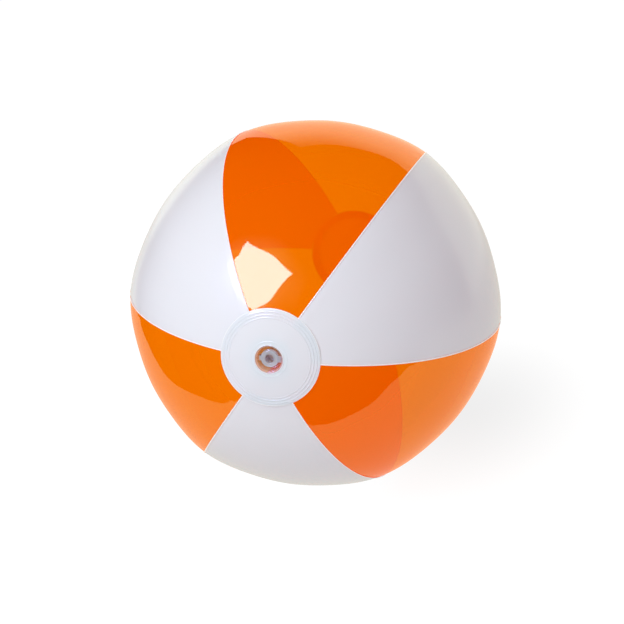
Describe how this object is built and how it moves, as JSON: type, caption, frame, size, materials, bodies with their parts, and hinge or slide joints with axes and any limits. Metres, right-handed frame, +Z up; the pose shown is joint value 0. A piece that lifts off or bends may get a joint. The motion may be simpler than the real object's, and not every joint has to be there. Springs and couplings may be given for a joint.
{
  "type": "beach ball",
  "caption": "Inflatable vinyl beach ball with alternating clear orange and white panels, round white end discs and a push-in air valve with a stopper and check flap.",
  "frame": {"origin": "the floor point under the ball's centre, in the middle of the flat spot it rests on", "axes": "+Z up; the ball's two end discs are on the Y axis line through its centre, with the valve end facing -Y; +X to the right as seen from the valve end"},
  "size_m": [0.2767, 0.2933, 0.276],
  "materials": {
    "orange_film": "clear glossy orange vinyl film that the far side shows through",
    "white_film": "glossy opaque white vinyl film",
    "clear_vinyl": "clear soft vinyl moulding"
  },
  "bodies": {
    "ball": {"panel_white_right": "white_film", "panel_orange_top": "orange_film", "panel_white_left": "white_film", "panel_orange_left": "orange_film", "panel_white_bottom": "white_film", "panel_orange_right": "orange_film", "valve_end_disc": "white_film", "far_end_disc": "white_film", "valve_flange": "clear_vinyl", "valve_skirt": "clear_vinyl"},
    "stem": {"valve_stem": "clear_vinyl", "tether": "clear_vinyl"},
    "stopper": {"stopper": "clear_vinyl"},
    "flap": {"check_flap": "clear_vinyl"}
  },
  "joints": [
    {"name": "stem_push", "type": "slide", "parent": "ball", "child": "stem", "axis": [0, -1, 0], "range_m": [0, 0.014], "deforming": ["valve_skirt"]},
    {"name": "stopper_pull", "type": "slide", "parent": "stem", "child": "stopper", "axis": [0, -1, 0], "range_m": [0, 0.01], "deforming": ["tether"]},
    {"name": "flap_open", "type": "hinge", "parent": "stem", "child": "flap", "pos_m": [0, -0.12598, 0.14285], "axis": [1, 0, 0], "range_deg": [0, 60], "stiffness_Nm_per_rad": 0.0002}
  ]
}
